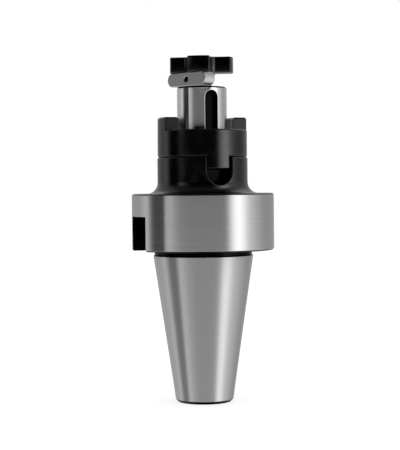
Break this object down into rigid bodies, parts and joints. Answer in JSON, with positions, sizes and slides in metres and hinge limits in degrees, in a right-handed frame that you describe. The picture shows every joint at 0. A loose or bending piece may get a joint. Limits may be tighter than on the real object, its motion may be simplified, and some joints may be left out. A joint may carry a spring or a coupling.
{
  "type": "shell mill arbor",
  "caption": "Arbor for shell mills, with a steep 7/24 taper shank, a slotted flange, a lugged driver ring, a feather key and a cross-headed retaining screw.",
  "frame": {"origin": "on the arbor's axis at the gauge line, the large end of the 7/24 taper", "axes": "+Z along the arbor's axis towards the cutter, away from the spindle; the spigot's keyway and one collar slot face -Y, and the flange's drive slots face +X and -X"},
  "size_m": [0.063, 0.063, 0.1524],
  "materials": {
    "ground_steel": "ground",
    "black_oxide_steel": "black oxide, satin"
  },
  "bodies": {
    "arbor": {"arbor_body": "ground_steel"},
    "ring": {"driver_ring": "black_oxide_steel"},
    "key": {"feather_key": "ground_steel"},
    "screw": {"retaining_screw": "black_oxide_steel"}
  },
  "joints": [
    {"name": "ring_lift", "type": "slide", "parent": "arbor", "child": "ring", "axis": [0, 0, 1], "range_m": [0, 0.013]},
    {"name": "key_draw", "type": "slide", "parent": "arbor", "child": "key", "axis": [-0.9489, -0.3156, 0], "range_m": [0, 0.02]},
    {"name": "screw_lift", "type": "slide", "parent": "arbor", "child": "screw", "axis": [0, 0, 1], "range_m": [0, 0.0285]}
  ]
}
